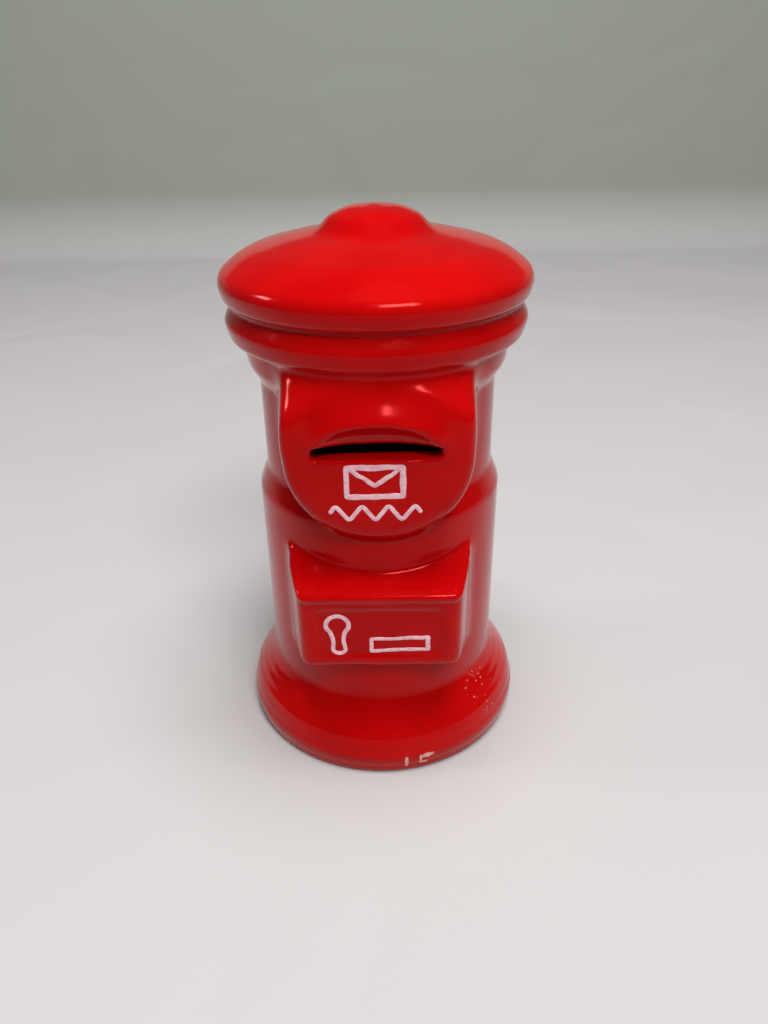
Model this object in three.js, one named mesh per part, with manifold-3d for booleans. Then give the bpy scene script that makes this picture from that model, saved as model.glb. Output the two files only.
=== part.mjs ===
// A money box in the form of a round pillar letter box, slip-cast in one piece, glazed red and
// stopped from below with a soft rubber bung. Millimetres, +Z up, front towards -Y, and the
// origin on the resting plane at the centre of the foot.
import * as THREE from 'three';
import * as BufferGeometryUtils from 'three/addons/utils/BufferGeometryUtils.js';
import Module from 'manifold-3d';

// ---- Driving dimensions: the turned body ----------------------------------------------------
const wall = 4;                    // cast wall, even all round as slip leaves it
const baseRadius = 44.5;           // widest radius, at the foot flange
const baseEdgeHeight = 6;          // height of that widest line
const baseHeight = 23.5;           // top of the flange, where the drum starts
const footTuck = 1.1;              // the foot stands this much inside the widest line
const lowerDrumRadius = 36;
const lowerDrumHeight = 58.5;
const upperDrumRadius = 33.4;
const waistRise = 6.5;             // height taken by the step between the two drums
const upperDrumHeight = 26.7;
const neckHeight = 21;             // the two rings under the cap
const lowerRingSwell = 2.7;        // how far the lower ring stands out from the upper drum
const upperRingSwell = 8.2;
const creaseDepth = 4.4;           // crease between the rings, in from the upper ring
const capRadius = 42.8;
const capRimHeight = 6.7;          // widest line of the cap above the groove under it
const capDomeRise = 9.8;           // from that line to the foot of the knob
const knobRadius = 15.4;
const knobHeight = 6.8;
const facets = 44;                 // around the turned body

// ---- Driving dimensions: how the turned outline curves between its levels -------------------
// share: of the radius it follows; out: beyond it; up, down: from the level; fillet: its rounding
const knobCrown = { share: 0.45, down: 0.6, fillet: 12 };
const knobShoulder = { share: 0.78, down: 2.6, fillet: 5 };
const knobFoot = { up: 0.6, fillet: 4 };
const domeTop = { share: 1.5, down: 0.9, fillet: 40 };
const domeShoulder = { share: 0.83, up: 5.8, fillet: 30 };
const capEdge = { out: 0.1, fillet: 4.3 };
const capUnderside = { out: -1.2, up: 1.3, fillet: 2.6 };
const groove = { out: -2.3, fillet: 0.8 };
const upperRing = { down: 4.5, fillet: 2.4 };
const upperRingFoot = { out: -1.2, up: 1.4, fillet: 2.4 };
const crease = { fillet: 0.8 };
const lowerRing = { up: 4.6, fillet: 5.3 };
const neck = { fillet: 1.6 };
const drumTop = { fillet: 3 };
const waist = { fillet: 4 };
const drumFoot = { out: -0.2, fillet: 3 };
const baseStep = { out: 1.6, down: 3.4, fillet: 3 };
const baseShoulder = { out: -1.7, up: 6.7, fillet: 10 };
const baseEdge = { fillet: 3 };
const foot = { fillet: 1.2 };
const insideCorner = 2.5;          // slip thickens the inside corners of cap and base by this much

// ---- Driving dimensions: foot, filling hole and bung ----------------------------------------
const footRingWidth = 7;
const footRecess = 3.2;            // how far the floor is raised inside the foot ring
const holeRadius = 15;
const bungClearance = 0.2;         // between bung and hole, all round
const bungDepth = 9;               // barrel length above the underside of the floor
const bungFlangeLap = 3.5;         // how far the flange covers the floor around the hole
const bungFlangeThickness = 1.8;
const bungWall = 2.6;
const bungTaper = 0.8;             // the barrel narrows by this much towards its top
const bungTopRound = 1.2;
const pullBarWidth = 3.2;
const pullBarRecess = 0.4;         // pull bar above the flange's face
const seatGap = 0.3;               // bung flange to the floor it closes against

// ---- Driving dimensions: letter plate, hood and slot ----------------------------------------
const plateRadius = 24.9;          // of its round lower half, under straight upright sides
const plateTurn = 1;               // degrees that the plate sits round to the left, by hand
const plateDrop = 9.9;             // centre of that round below the neck
const plateProjection = 7.1;       // its face in front of the upper drum
const plateEdgeRound = 3.8;
const plateTopFall = 1.1;          // slope at which its top falls back to the neck crease
const plateTopClear = 0.5;         // where that slope ends, outside the crease
const hoodHalfWidth = 20;
const hoodRise = 13.5;
const hoodReach = 4.4;             // how far the hood stands in front of the plate
const hoodAboveSlot = 1.5;
const slotLength = 33;
const slotHeight = 3.2;
const slotRise = 1.4;              // slot above the centre of the plate's round
const slotOffset = -0.5;           // cut slightly off centre, by hand
const slotEndRound = 1.4;
const scoopRise = 8.2;             // hollow under the hood, above the slot
const scoopDepth = 2.2;            // behind the plate's face
const scoopMargin = 1;             // hollow past each end of the slot
const wallBehindScoop = 2.6;

// ---- Driving dimensions: collection box -----------------------------------------------------
const boxTurn = 2;                 // degrees that the box sits round to the left, by hand
const boxFrontHalfWidth = 21.6;
const boxFlare = 4.6;              // how much wider each side is where it meets the drum
const boxProjection = 6.5;         // its face in front of the lower drum
const boxAboveBase = 17;           // its bottom above the top of the flange
const boxHeight = 24.8;            // from its bottom to the top edge of the front lip
const boxRoofRise = 17.5;          // climb of the roof from the lip to the middle of the drum
const boxUndersideDrop = 6;        // fall of the underside from the front to the middle
const boxLipReach = 1;
const boxLipThickness = 2.8;
const boxLipChamfer = 1;
const boxLipRound = 1.4;
const boxLipUnderRound = 0.9;
const boxLipCreaseRound = 0.7;
const boxBottomRound = 2.4;
const boxCornerRound = 3;
const boxSideRound = 6;            // bend of the sides as they flare
const boxSideStraight = 0.7;       // share of the drum's radius at which they start to narrow
const panelMargin = 4.6;           // rim left beside the sunk panel in the box front
const panelBottomMargin = 4.1;
const panelTopMargin = 2.2;        // rim between the panel and the lip
const panelCornerRound = 2;
const panelDepth = 0.6;

// ---- Driving dimensions: painted marks ------------------------------------------------------
const paintThickness = 0.3;
const paintGap = 0.05;             // kept between the paint film and the glaze
const wideBrush = 1.6;
const fineBrush = 1.1;
// Places and sizes of the marks, as shares: of the panel's half width and half height
const keyholeAcross = -0.68;
const keyholeUp = 0.33;
const keyholeHeight = 1.62;
const namePlateLeft = -0.13;
const namePlateRight = 0.81;
const namePlateTop = -0.22;
const namePlateBottom = -0.81;
const namePlateTilt = 0.07;
// and of the band of plain plate under the slot, measured down from the slot
const marksOffset = -0.047;
const envelopeTop = 0.11;
const envelopeBottom = 0.5;
const envelopeHalfWidth = 0.34;
const flapDepth = 0.23;
const flourishLevel = 0.73;
const flourishHalfLength = 0.58;
const flourishSwing = 0.088;
const flourishWaves = 3.5;

// ---- Levels of the turned body, from the bottom up ------------------------------------------
const waistLevel = baseHeight + lowerDrumHeight;
const upperDrumLevel = waistLevel + waistRise;
const neckLevel = upperDrumLevel + upperDrumHeight;
const creaseLevel = neckLevel + neckHeight / 2;
const grooveLevel = neckLevel + neckHeight;
const rimLevel = grooveLevel + capRimHeight;
const domeLevel = rimLevel + capDomeRise;
const topLevel = domeLevel + knobHeight;
const footRadius = baseRadius - footTuck;
const floorLevel = footRecess + wall;
const lowerRingRadius = upperDrumRadius + lowerRingSwell;
const upperRingRadius = upperDrumRadius + upperRingSwell;
const creaseRadius = upperRingRadius - creaseDepth;

// ---- Places that follow from them -----------------------------------------------------------
const plateCentreHeight = neckLevel - plateDrop;
const plateFront = upperDrumRadius + plateProjection;
const slotCentreHeight = plateCentreHeight + slotRise;
const boxFront = lowerDrumRadius + boxProjection;
const boxBottom = baseHeight + boxAboveBase;
const boxLipHeight = boxBottom + boxHeight;
const boxBackHalfWidth = boxFrontHalfWidth + boxFlare;
const panelFace = boxFront - panelDepth;
const panelHalfWidth = boxFrontHalfWidth - panelMargin;
const panelBottom = boxBottom + panelBottomMargin;
const panelTop = boxLipHeight - boxLipThickness - panelTopMargin;
const panelMiddle = (panelBottom + panelTop) / 2;
const panelHalfHeight = (panelTop - panelBottom) / 2;
const bandTop = slotCentreHeight - slotHeight / 2;
const bandHeight = bandTop - (plateCentreHeight - plateRadius + plateEdgeRound);

const red = new THREE.MeshStandardMaterial({ color: 0xc8100e, roughness: 0.12, metalness: 0 });
const white = new THREE.MeshStandardMaterial({ color: 0xf0d9dc, roughness: 0.35, metalness: 0 });
const rubber = new THREE.MeshStandardMaterial({ color: 0x8f8d88, roughness: 0.8, metalness: 0 });

const wasm = await Module();
wasm.setup();

// ---- Helpers --------------------------------------------------------------------------------

/** A closed three.js geometry as a manifold solid. */
function solid(geometry) {
  geometry.deleteAttribute('normal');
  geometry.deleteAttribute('uv');
  const merged = BufferGeometryUtils.mergeVertices(geometry, 1e-4);
  const index = merged.index.array;
  const triVerts = [];
  for (let i = 0; i < index.length; i += 3) {
    const [a, b, c] = [index[i], index[i + 1], index[i + 2]];
    if (a !== b && b !== c && c !== a) triVerts.push(a, b, c);
  }
  return new wasm.Manifold(new wasm.Mesh({
    numProp: 3,
    vertProperties: new Float32Array(merged.attributes.position.array),
    triVerts: new Uint32Array(triVerts),
  }));
}

/** A manifold solid as a named mesh. */
function meshOf(name, shape, material) {
  const found = shape.getMesh();
  const geometry = new THREE.BufferGeometry();
  geometry.setAttribute('position', new THREE.BufferAttribute(found.vertProperties, 3));
  geometry.setIndex(new THREE.BufferAttribute(found.triVerts, 1));
  geometry.computeVertexNormals();
  const mesh = new THREE.Mesh(geometry, material);
  mesh.name = name;
  return mesh;
}

/** An outline through corners [x, y, fillet], each eased over the length of an arc of that radius. */
function rounded(corners, closed = false, bendPerStep = Math.PI / 7) {
  const points = [];
  const count = corners.length;
  corners.forEach(([x, y, fillet = 0], i) => {
    const here = new THREE.Vector2(x, y);
    const isEnd = !closed && (i === 0 || i === count - 1);
    if (isEnd || fillet === 0) {
      points.push(here);
      return;
    }
    const before = new THREE.Vector2(...corners[(i + count - 1) % count].slice(0, 2)).sub(here);
    const after = new THREE.Vector2(...corners[(i + 1) % count].slice(0, 2)).sub(here);
    const half = before.angleTo(after) / 2;
    const reach = Math.min(fillet / Math.tan(half), 0.49 * before.length(), 0.49 * after.length());
    const start = here.clone().addScaledVector(before.normalize(), reach);
    const end = here.clone().addScaledVector(after.normalize(), reach);
    const bend = Math.PI - 2 * half;
    const steps = Math.max(2, Math.ceil(bend / bendPerStep));
    const arc = new THREE.QuadraticBezierCurve(start, here, end);
    points.push(...arc.getPoints(steps));
  });
  return points;
}

/** A solid of revolution about +Z from corners that start and end on the axis, top first. */
function turned(corners) {
  const outline = rounded(corners).reverse();
  return solid(new THREE.LatheGeometry(outline, facets).rotateX(Math.PI / 2));
}

/** An outline in x and z, drawn from the front, as a slab from one depth to another (both -y). */
function slabFromFront(outline, back, front, holes = []) {
  const shape = new THREE.Shape(outline);
  shape.holes = holes.map((hole) => new THREE.Path(hole));
  const geometry = new THREE.ExtrudeGeometry(shape, { depth: front - back, bevelEnabled: false });
  return solid(geometry.rotateX(Math.PI / 2).translate(0, -back, 0));
}

/** An ellipsoid with the given half lengths along x, y and z. */
function ellipsoid(halfX, halfY, halfZ, x, y, z) {
  const geometry = new THREE.SphereGeometry(1, 32, 16);
  return solid(geometry.scale(halfX, halfY, halfZ).translate(x, y, z));
}

// ---- The ceramic body -----------------------------------------------------------------------

/** The outside of the turned body, solid from the resting plane to the knob. */
function turnedOutside() {
  return turned([
    [0, topLevel],
    [knobRadius * knobCrown.share, topLevel - knobCrown.down, knobCrown.fillet],
    [knobRadius * knobShoulder.share, topLevel - knobShoulder.down, knobShoulder.fillet],
    [knobRadius, domeLevel + knobFoot.up, knobFoot.fillet],
    [knobRadius * domeTop.share, domeLevel - domeTop.down, domeTop.fillet],
    [capRadius * domeShoulder.share, rimLevel + domeShoulder.up, domeShoulder.fillet],
    [capRadius + capEdge.out, rimLevel, capEdge.fillet],
    [capRadius + capUnderside.out, grooveLevel + capUnderside.up, capUnderside.fillet],
    [upperRingRadius + groove.out, grooveLevel, groove.fillet],
    [upperRingRadius, grooveLevel - upperRing.down, upperRing.fillet],
    [upperRingRadius + upperRingFoot.out, creaseLevel + upperRingFoot.up, upperRingFoot.fillet],
    [creaseRadius, creaseLevel, crease.fillet],
    [lowerRingRadius, neckLevel + lowerRing.up, lowerRing.fillet],
    [upperDrumRadius, neckLevel, neck.fillet],
    [upperDrumRadius, upperDrumLevel, drumTop.fillet],
    [lowerDrumRadius, waistLevel, waist.fillet],
    [lowerDrumRadius + drumFoot.out, baseHeight, drumFoot.fillet],
    [lowerDrumRadius + baseStep.out, baseHeight - baseStep.down, baseStep.fillet],
    [baseRadius + baseShoulder.out, baseEdgeHeight + baseShoulder.up, baseShoulder.fillet],
    [baseRadius, baseEdgeHeight, baseEdge.fillet],
    [footRadius, 0, foot.fillet],
    [0, 0],
  ]);
}

/** The hollow of the turned body, one wall inside it. */
function turnedInside() {
  const ceiling = domeLevel - wall;
  const drum = upperDrumRadius - wall;
  const corner = wall + insideCorner;
  return turned([
    [0, ceiling],
    [knobRadius * domeTop.share, ceiling - domeTop.down],
    [capRadius * domeShoulder.share, rimLevel + domeShoulder.up - wall * 1.3],
    [capRadius - corner + 1.5, rimLevel - 1],
    [capRadius - corner - 1, grooveLevel],
    [drum, neckLevel + wall * 0.75],
    [drum, upperDrumLevel],
    [lowerDrumRadius - wall, waistLevel],
    [lowerDrumRadius - wall, baseHeight - wall / 2],
    [baseRadius - corner, floorLevel + insideCorner],
    [baseRadius - corner - insideCorner, floorLevel],
    [0, floorLevel],
  ]);
}

/** A side view of [y, z] corners as a slab this wide, centred on the middle plane. */
function slabFromSide(outline, halfWidth) {
  const geometry = new THREE.ExtrudeGeometry(
    new THREE.Shape(outline), { depth: 2 * halfWidth, bevelEnabled: false });
  const turn = new THREE.Matrix4().makeBasis(
    new THREE.Vector3(0, 1, 0),
    new THREE.Vector3(0, 0, 1),
    new THREE.Vector3(1, 0, 0),
  );
  return solid(geometry.applyMatrix4(turn).translate(-halfWidth, 0, 0));
}

/** A plate standing in front of the axis: round below, with straight upright sides above. */
function plateSlab(radius, front, edgeRound) {
  const disc = new THREE.LatheGeometry(rounded([
    [0, 0],
    [radius, 0],
    [radius, front, edgeRound],
    [0, front],
  ]), facets);
  const round = solid(disc.rotateX(Math.PI).translate(0, 0, plateCentreHeight));
  const section = new THREE.Shape(rounded([
    [radius, 0],
    [radius, -front, edgeRound],
    [-radius, -front, edgeRound],
    [-radius, 0],
  ], true));
  const depth = creaseLevel - plateCentreHeight;
  const upright = new THREE.ExtrudeGeometry(section, { depth, bevelEnabled: false });
  return round.add(solid(upright.translate(0, 0, plateCentreHeight)));
}

/** The letter plate, whose top falls back all round into the crease of the neck. */
function letterPlate() {
  const inner = creaseRadius + plateTopClear;
  const outer = Math.hypot(plateRadius, plateFront) + 1;
  const bottom = plateCentreHeight - plateRadius - 1;
  const cone = turned([
    [0, creaseLevel],
    [inner, creaseLevel],
    [outer, creaseLevel - (outer - inner) * plateTopFall],
    [outer, bottom],
    [0, bottom],
  ]);
  return plateSlab(plateRadius, plateFront, plateEdgeRound).intersect(cone);
}

/** The hollow behind the letter plate, deep enough to leave a wall behind the scoop. */
function plateHollow() {
  const ceiling = slabFromSide([
    [0, plateCentreHeight - plateRadius],
    [-plateFront, plateCentreHeight - plateRadius],
    [-plateFront, creaseLevel - plateProjection - wall],
    [0, creaseLevel],
  ].map(([y, z]) => new THREE.Vector2(y, z)), plateRadius);
  const front = plateFront - scoopDepth - wallBehindScoop;
  return plateSlab(plateRadius - wall, front, wall / 2).intersect(ceiling);
}

/** The arched hood over the slot. */
function hood() {
  const level = slotCentreHeight + hoodAboveSlot;
  const dome = ellipsoid(hoodHalfWidth, hoodReach * 2, hoodRise, 0, hoodReach - plateFront, level);
  return dome.subtract(frontBlock(hoodHalfWidth + 1, level - hoodRise - 1, bandTop));
}

/** The hollow that runs from the hood's lower edge in to the slot. */
function scoop() {
  const half = slotLength / 2 + scoopMargin;
  const face = plateFront + hoodReach;
  const bowl = ellipsoid(half, hoodReach + scoopDepth, scoopRise, slotOffset, -face, slotCentreHeight);
  const below = frontBlock(half - slotOffset + 1, slotCentreHeight - scoopRise - 1, bandTop);
  return bowl.subtract(below);
}

/** A plain block in front of the axis, between two levels. */
function frontBlock(halfWidth, bottom, top) {
  const outline = [[-halfWidth, bottom], [halfWidth, bottom], [halfWidth, top], [-halfWidth, top]];
  return slabFromFront(outline.map(([x, z]) => new THREE.Vector2(x, z)), 0, plateFront * 1.5);
}

/** The coin slot, from the front to the middle of the hollow. */
function coinSlot() {
  const halfLength = slotLength / 2;
  const halfHeight = slotHeight / 2;
  const outline = rounded([
    [slotOffset - halfLength, slotCentreHeight - halfHeight, slotEndRound],
    [slotOffset + halfLength, slotCentreHeight - halfHeight, slotEndRound],
    [slotOffset + halfLength, slotCentreHeight + halfHeight, slotEndRound],
    [slotOffset - halfLength, slotCentreHeight + halfHeight, slotEndRound],
  ], true);
  return slabFromFront(outline, 0, plateFront * 1.5);
}

/** The collection box, or its hollow when drawn one wall smaller. */
function collectionBox(inset) {
  const front = boxFront + boxLipReach - inset;
  const face = boxFront - inset;
  const lip = boxLipHeight - inset;
  const lipUnder = lip - boxLipThickness;
  const bottom = boxBottom + inset;
  const frontHalf = boxFrontHalfWidth - inset;
  const backHalf = boxBackHalfWidth - inset;
  const straight = lowerDrumRadius * boxSideStraight;
  const plan = new THREE.Shape(rounded([
    [backHalf, 0],
    [backHalf, -straight, boxSideRound],
    [frontHalf, -front, boxCornerRound],
    [-frontHalf, -front, boxCornerRound],
    [-backHalf, -straight, boxSideRound],
    [-backHalf, 0],
  ], true));
  const side = slabFromSide(rounded([
    [0, lip + boxRoofRise],
    [-front, lip, boxLipRound],
    [-front, lipUnder, boxLipUnderRound],
    [-face, lipUnder - boxLipChamfer, boxLipCreaseRound],
    [-face, bottom, boxBottomRound],
    [0, bottom - boxUndersideDrop],
  ], true), backHalf + 1);
  const height = boxLipHeight + boxRoofRise;
  const upright = new THREE.ExtrudeGeometry(plan, { depth: height, bevelEnabled: false });
  return solid(upright).intersect(side);
}

/** The shallow panel sunk in the front of the collection box. */
function sunkPanel() {
  const outline = rounded([
    [-panelHalfWidth, panelBottom, panelCornerRound],
    [panelHalfWidth, panelBottom, panelCornerRound],
    [panelHalfWidth, panelTop, panelCornerRound],
    [-panelHalfWidth, panelTop, panelCornerRound],
  ], true);
  return slabFromFront(outline, panelFace, boxFront + boxLipReach + 1);
}

/** A cylinder about +Z between two levels. */
function post(radius, bottom, top, sides = 48) {
  const geometry = new THREE.CylinderGeometry(radius, radius, top - bottom, sides);
  return solid(geometry.rotateX(Math.PI / 2).translate(0, 0, (top + bottom) / 2));
}

/** A shape drawn straight in front, turned to where the letter plate sits. */
function onPlate(shape) {
  return shape.rotate([0, 0, -plateTurn]);
}

/** A shape drawn straight in front, turned to where the collection box sits. */
function onBox(shape) {
  return shape.rotate([0, 0, -boxTurn]);
}

function ceramicBody() {
  const outside = turnedOutside().add(onPlate(letterPlate().add(hood()))).add(onBox(collectionBox(0)));
  const inside = turnedInside().add(onPlate(plateHollow())).add(onBox(collectionBox(wall)));
  const underside = post(footRadius - footRingWidth, -1, footRecess);
  const hole = post(holeRadius, -1, floorLevel + 1);
  return outside
    .subtract(inside)
    .subtract(onPlate(scoop().add(coinSlot())))
    .subtract(onBox(sunkPanel()))
    .subtract(underside)
    .subtract(hole);
}

// ---- The rubber bung ------------------------------------------------------------------------

function bung() {
  const barrelRadius = holeRadius - bungClearance;
  const flangeRadius = holeRadius + bungFlangeLap;
  const flangeTop = footRecess - seatGap;
  const flangeBottom = flangeTop - bungFlangeThickness;
  const top = footRecess + bungDepth;
  const cup = turned([
    [0, top],
    [barrelRadius - bungTaper, top, bungTopRound],
    [barrelRadius, flangeTop],
    [flangeRadius, flangeTop],
    [flangeRadius, flangeBottom],
    [barrelRadius - bungWall, flangeBottom],
    [barrelRadius - bungWall - bungTaper, top - bungWall],
    [0, top - bungWall],
  ]);
  const barTop = top - bungWall / 2;
  const barBottom = flangeBottom + pullBarRecess;
  const barLength = 2 * (barrelRadius - bungTaper - bungWall / 2);
  const bar = new THREE.BoxGeometry(barLength, pullBarWidth, barTop - barBottom);
  bar.translate(0, 0, (barTop + barBottom) / 2);
  return cup.add(solid(bar));
}

// ---- Painted marks --------------------------------------------------------------------------

/** Points one brush half-width to the side of a centre line. */
function offset(points, distance, closed) {
  const count = points.length;
  return points.map((point, i) => {
    const before = points[closed ? (i + count - 1) % count : Math.max(i - 1, 0)];
    const after = points[closed ? (i + 1) % count : Math.min(i + 1, count - 1)];
    const along = after.clone().sub(before).normalize();
    return new THREE.Vector2(point.x - along.y * distance, point.y + along.x * distance);
  });
}

/** A brush stroke along a centre line of [x, z] points, as a film on a face at this depth. */
function stroke(route, width, face, { closed = false, steps = 24, tension = 0.5 } = {}) {
  const curve = new THREE.CatmullRomCurve3(
    route.map(([x, z]) => new THREE.Vector3(x, z, 0)), closed, 'catmullrom', tension);
  const centre = curve.getPoints(steps).map((point) => new THREE.Vector2(point.x, point.y));
  if (closed) centre.pop();
  const left = offset(centre, width / 2, closed);
  const right = offset(centre, -width / 2, closed);
  const back = face + paintGap;
  if (closed) return slabFromFront(right, back, back + paintThickness, [left]);
  return slabFromFront([...right, ...left.reverse()], back, back + paintThickness);
}

/** A keyhole outline on the sunk panel: a round head on a flared foot. */
function keyholeMark() {
  const unit = panelHalfHeight * keyholeHeight / 12;
  const headRadius = 3;
  const head = [];
  for (let degrees = -50; degrees <= 230; degrees += 35) {
    const angle = THREE.MathUtils.degToRad(degrees);
    head.push([headRadius * Math.cos(angle), headRadius * Math.sin(angle)]);
  }
  const base = [[-1.2, -5.2], [-1.3, -8.2], [0.4, -9], [1.9, -8.1], [1.5, -5]];
  const route = [...head, ...base].map(([x, z]) => [
    panelHalfWidth * keyholeAcross + x * unit,
    panelMiddle + panelHalfHeight * keyholeUp + z * unit,
  ]);
  return stroke(route, wideBrush, panelFace, { closed: true, steps: 56 });
}

/** A name-plate outline beside it, drawn a little askew. */
function namePlateMark() {
  const [left, right] = [panelHalfWidth * namePlateLeft, panelHalfWidth * namePlateRight];
  const [bottom, top] = [namePlateBottom, namePlateTop].map((up) => panelMiddle + panelHalfHeight * up);
  const tilt = panelHalfHeight * namePlateTilt;
  const corners = [[left, bottom], [right, bottom + tilt], [right, top], [left, top - tilt]];
  return frameFilm(corners, fineBrush, panelFace);
}

/** Four strokes along four corners, as a film on a face at this depth. */
function frameFilm(corners, width, face) {
  const back = face + paintGap;
  const outer = offsetBox(corners, width / 2);
  const inner = offsetBox(corners, -width / 2);
  return slabFromFront(outer, back, back + paintThickness, [inner]);
}

/** Four corners moved out from their middle by a distance along x and z, as points. */
function offsetBox(corners, distance) {
  const middleX = (corners[0][0] + corners[1][0]) / 2;
  const middleZ = (corners[0][1] + corners[2][1]) / 2;
  return corners.map(([x, z]) => new THREE.Vector2(
    x + Math.sign(x - middleX) * distance,
    z + Math.sign(z - middleZ) * distance,
  ));
}

/** An envelope outline with its flap, under the slot. */
function envelopeMark() {
  const middle = bandHeight * marksOffset;
  const half = bandHeight * envelopeHalfWidth;
  const [left, right] = [middle - half, middle + half];
  const [bottom, top] = [bandTop - bandHeight * envelopeBottom, bandTop - bandHeight * envelopeTop];
  const corners = [[left, bottom], [right, bottom], [right, top], [left, top]];
  const frame = frameFilm(corners, wideBrush, plateFront);
  const flapRoute = [[left, top], [middle, top - bandHeight * flapDepth], [right, top]];
  return frame.add(stroke(flapRoute, fineBrush, plateFront, { steps: 12, tension: 0.1 }));
}

/** A wavy flourish below the envelope. */
function flourishMark() {
  const half = bandHeight * flourishHalfLength;
  const left = bandHeight * marksOffset - half;
  const level = bandTop - bandHeight * flourishLevel;
  const points = 4 * flourishWaves;
  const route = [];
  for (let i = 0; i <= points; i += 1) {
    const share = i / points;
    const swing = Math.sin(2 * Math.PI * flourishWaves * share);
    route.push([left + 2 * half * share, level + bandHeight * flourishSwing * swing]);
  }
  return stroke(route, wideBrush, plateFront, { steps: 70 });
}

// ---- The assembly ---------------------------------------------------------------------------

const moneyBox = new THREE.Group();
moneyBox.add(
  meshOf('ceramic_body', ceramicBody(), red),
  meshOf('base_bung', bung(), rubber),
  meshOf('painted_envelope', onPlate(envelopeMark()), white),
  meshOf('painted_flourish', onPlate(flourishMark()), white),
  meshOf('painted_keyhole', onBox(keyholeMark()), white),
  meshOf('painted_name_plate', onBox(namePlateMark()), white),
);

export default moneyBox;
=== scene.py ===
"""A red glazed money box shaped as a round pillar letter box, built around its packed CAD frame.

Metres, +Z up, the front towards -Y, the foot standing on z = 0.
"""

import math

import bmesh
import bpy
from bpy.props import FloatProperty, PointerProperty, StringProperty
from mathutils import Matrix, Vector
from mathutils.bvhtree import BVHTree


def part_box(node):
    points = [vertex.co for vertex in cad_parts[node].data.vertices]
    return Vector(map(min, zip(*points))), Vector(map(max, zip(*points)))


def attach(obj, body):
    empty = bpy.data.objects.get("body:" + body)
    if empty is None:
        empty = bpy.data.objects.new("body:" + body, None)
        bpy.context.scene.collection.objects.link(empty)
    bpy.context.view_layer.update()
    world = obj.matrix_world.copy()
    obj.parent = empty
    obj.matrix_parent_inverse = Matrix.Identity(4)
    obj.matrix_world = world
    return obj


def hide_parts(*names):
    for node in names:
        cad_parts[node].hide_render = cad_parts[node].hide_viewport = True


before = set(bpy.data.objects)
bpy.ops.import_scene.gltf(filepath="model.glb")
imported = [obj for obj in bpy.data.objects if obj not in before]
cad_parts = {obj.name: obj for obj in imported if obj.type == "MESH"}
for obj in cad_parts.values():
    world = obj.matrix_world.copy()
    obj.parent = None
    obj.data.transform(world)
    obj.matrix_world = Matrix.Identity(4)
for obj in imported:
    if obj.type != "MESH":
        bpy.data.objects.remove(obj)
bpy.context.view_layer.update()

bl_info = {
    "name": "Ceramic Letter Box Bank",
    "version": (1, 0, 0),
    "blender": (4, 5, 0),
    "location": "View3D > Sidebar > Money Box",
    "description": "Builds a slip-cast money box with its base bung, painted marks and a studio",
    "category": "Object",
}

MM = 0.001
TINY = 1e-7
BODY = "ceramic"
BUNG = "bung"


# ---- Properties -----------------------------------------------------------------------------


def length(name, description, millimetres):
    """A length property whose default is given in millimetres."""
    return FloatProperty(
        name=name, description=description, default=millimetres * MM, min=0.0, unit="LENGTH", precision=5
    )


def angle(name, description, degrees):
    """An angle property whose default is given in degrees."""
    return FloatProperty(name=name, description=description, default=math.radians(degrees), unit="ROTATION")


def colour(name, description, code):
    """A colour property whose default is an sRGB hex code."""
    return StringProperty(name=name, description=description, default=code)


class TurnedBodySizes(bpy.types.PropertyGroup):
    """Sizes of the round body, from the foot up."""

    base_radius: length("Base radius", "Widest radius of the foot flange", 44.5)
    base_edge_height: length("Base edge height", "Height of the flange's widest line", 6.0)
    base_height: length("Base height", "Top of the flange", 23.5)
    lower_drum_radius: length("Lower drum radius", "Radius of the wider drum", 36.0)
    lower_drum_height: length("Lower drum height", "Height of the wider drum", 58.5)
    upper_drum_radius: length("Upper drum radius", "Radius of the narrower drum", 33.4)
    waist_rise: length("Waist rise", "Height of the step between the drums", 6.5)
    upper_drum_height: length("Upper drum height", "Height of the narrower drum", 26.7)
    neck_height: length("Neck height", "Height of the two rings under the cap", 21.0)
    lower_ring_swell: length("Lower ring swell", "How far the lower ring stands out", 2.7)
    upper_ring_swell: length("Upper ring swell", "How far the upper ring stands out", 8.2)
    cap_radius: length("Cap radius", "Widest radius of the cap", 42.8)
    cap_rim_height: length("Cap rim height", "Widest line of the cap above its groove", 6.7)
    cap_dome_rise: length("Cap dome rise", "From the widest line to the knob's foot", 9.8)
    knob_radius: length("Knob radius", "Radius of the knob", 15.4)
    knob_height: length("Knob height", "Height of the knob", 6.8)
    wall: length("Wall", "Cast wall thickness", 4.0)
    foot_ring_width: length("Foot ring width", "Width of the bare ring it stands on", 7.0)
    foot_recess: length("Foot recess", "Height of the floor above the ring", 3.2)
    hole_radius: length("Hole radius", "Radius of the emptying hole", 15.0)
    grain: length("Grain", "Edge of the fine mesh's squares", 0.88)


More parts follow.
